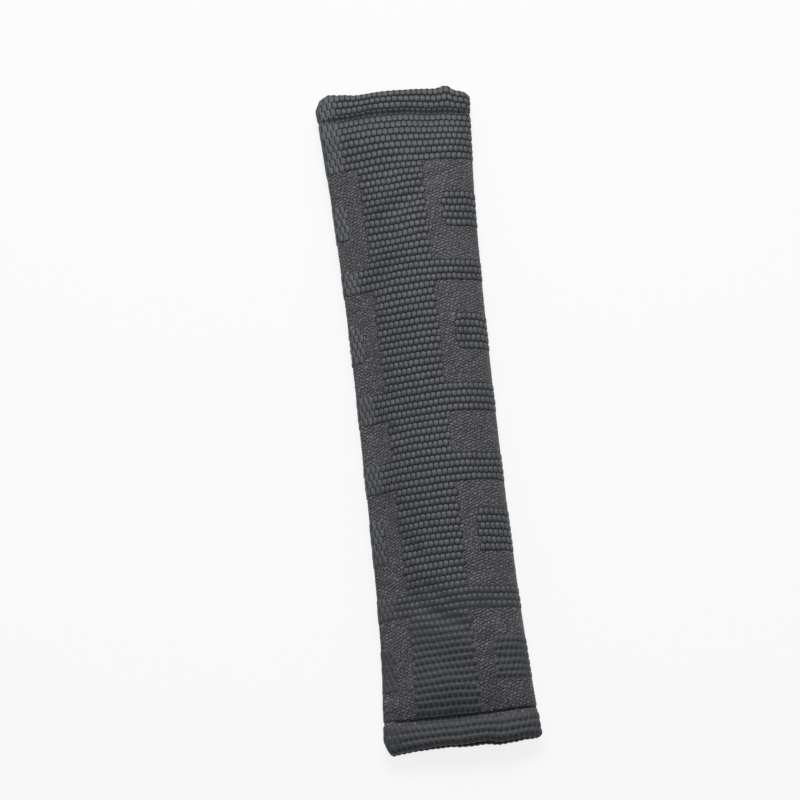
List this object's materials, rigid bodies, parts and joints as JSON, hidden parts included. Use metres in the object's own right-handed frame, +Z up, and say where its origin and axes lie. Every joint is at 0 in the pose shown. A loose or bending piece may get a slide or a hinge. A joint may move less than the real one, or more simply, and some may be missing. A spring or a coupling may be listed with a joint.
{
  "type": "seat belt shoulder pad",
  "caption": "Soft padded sleeve of dark jacquard weave that folds lengthwise round a seat belt and closes along one long edge with hook and loop strips.",
  "frame": {"origin": "middle of the flat back, in the plane that the pad lies on", "axes": "+Y along the belt, +X from the closing edge towards the fold, +Z up from the back to the front flap"},
  "size_m": [0.0662, 0.3, 0.017],
  "materials": {
    "jacquard_weave": "woven, matt with a slight sheen on the raised yarns",
    "soft_foam": "open soft foam",
    "smooth_lining": "smooth knitted cloth",
    "hook_tape": "stiff moulded hooks on tape",
    "loop_tape": "brushed loop pile"
  },
  "bodies": {
    "root": {"outer_cover": "jacquard_weave", "foam_pad": "soft_foam", "inner_lining": "smooth_lining", "hook_strip": "hook_tape", "loop_strip": "loop_tape"}
  },
  "joints": []
}
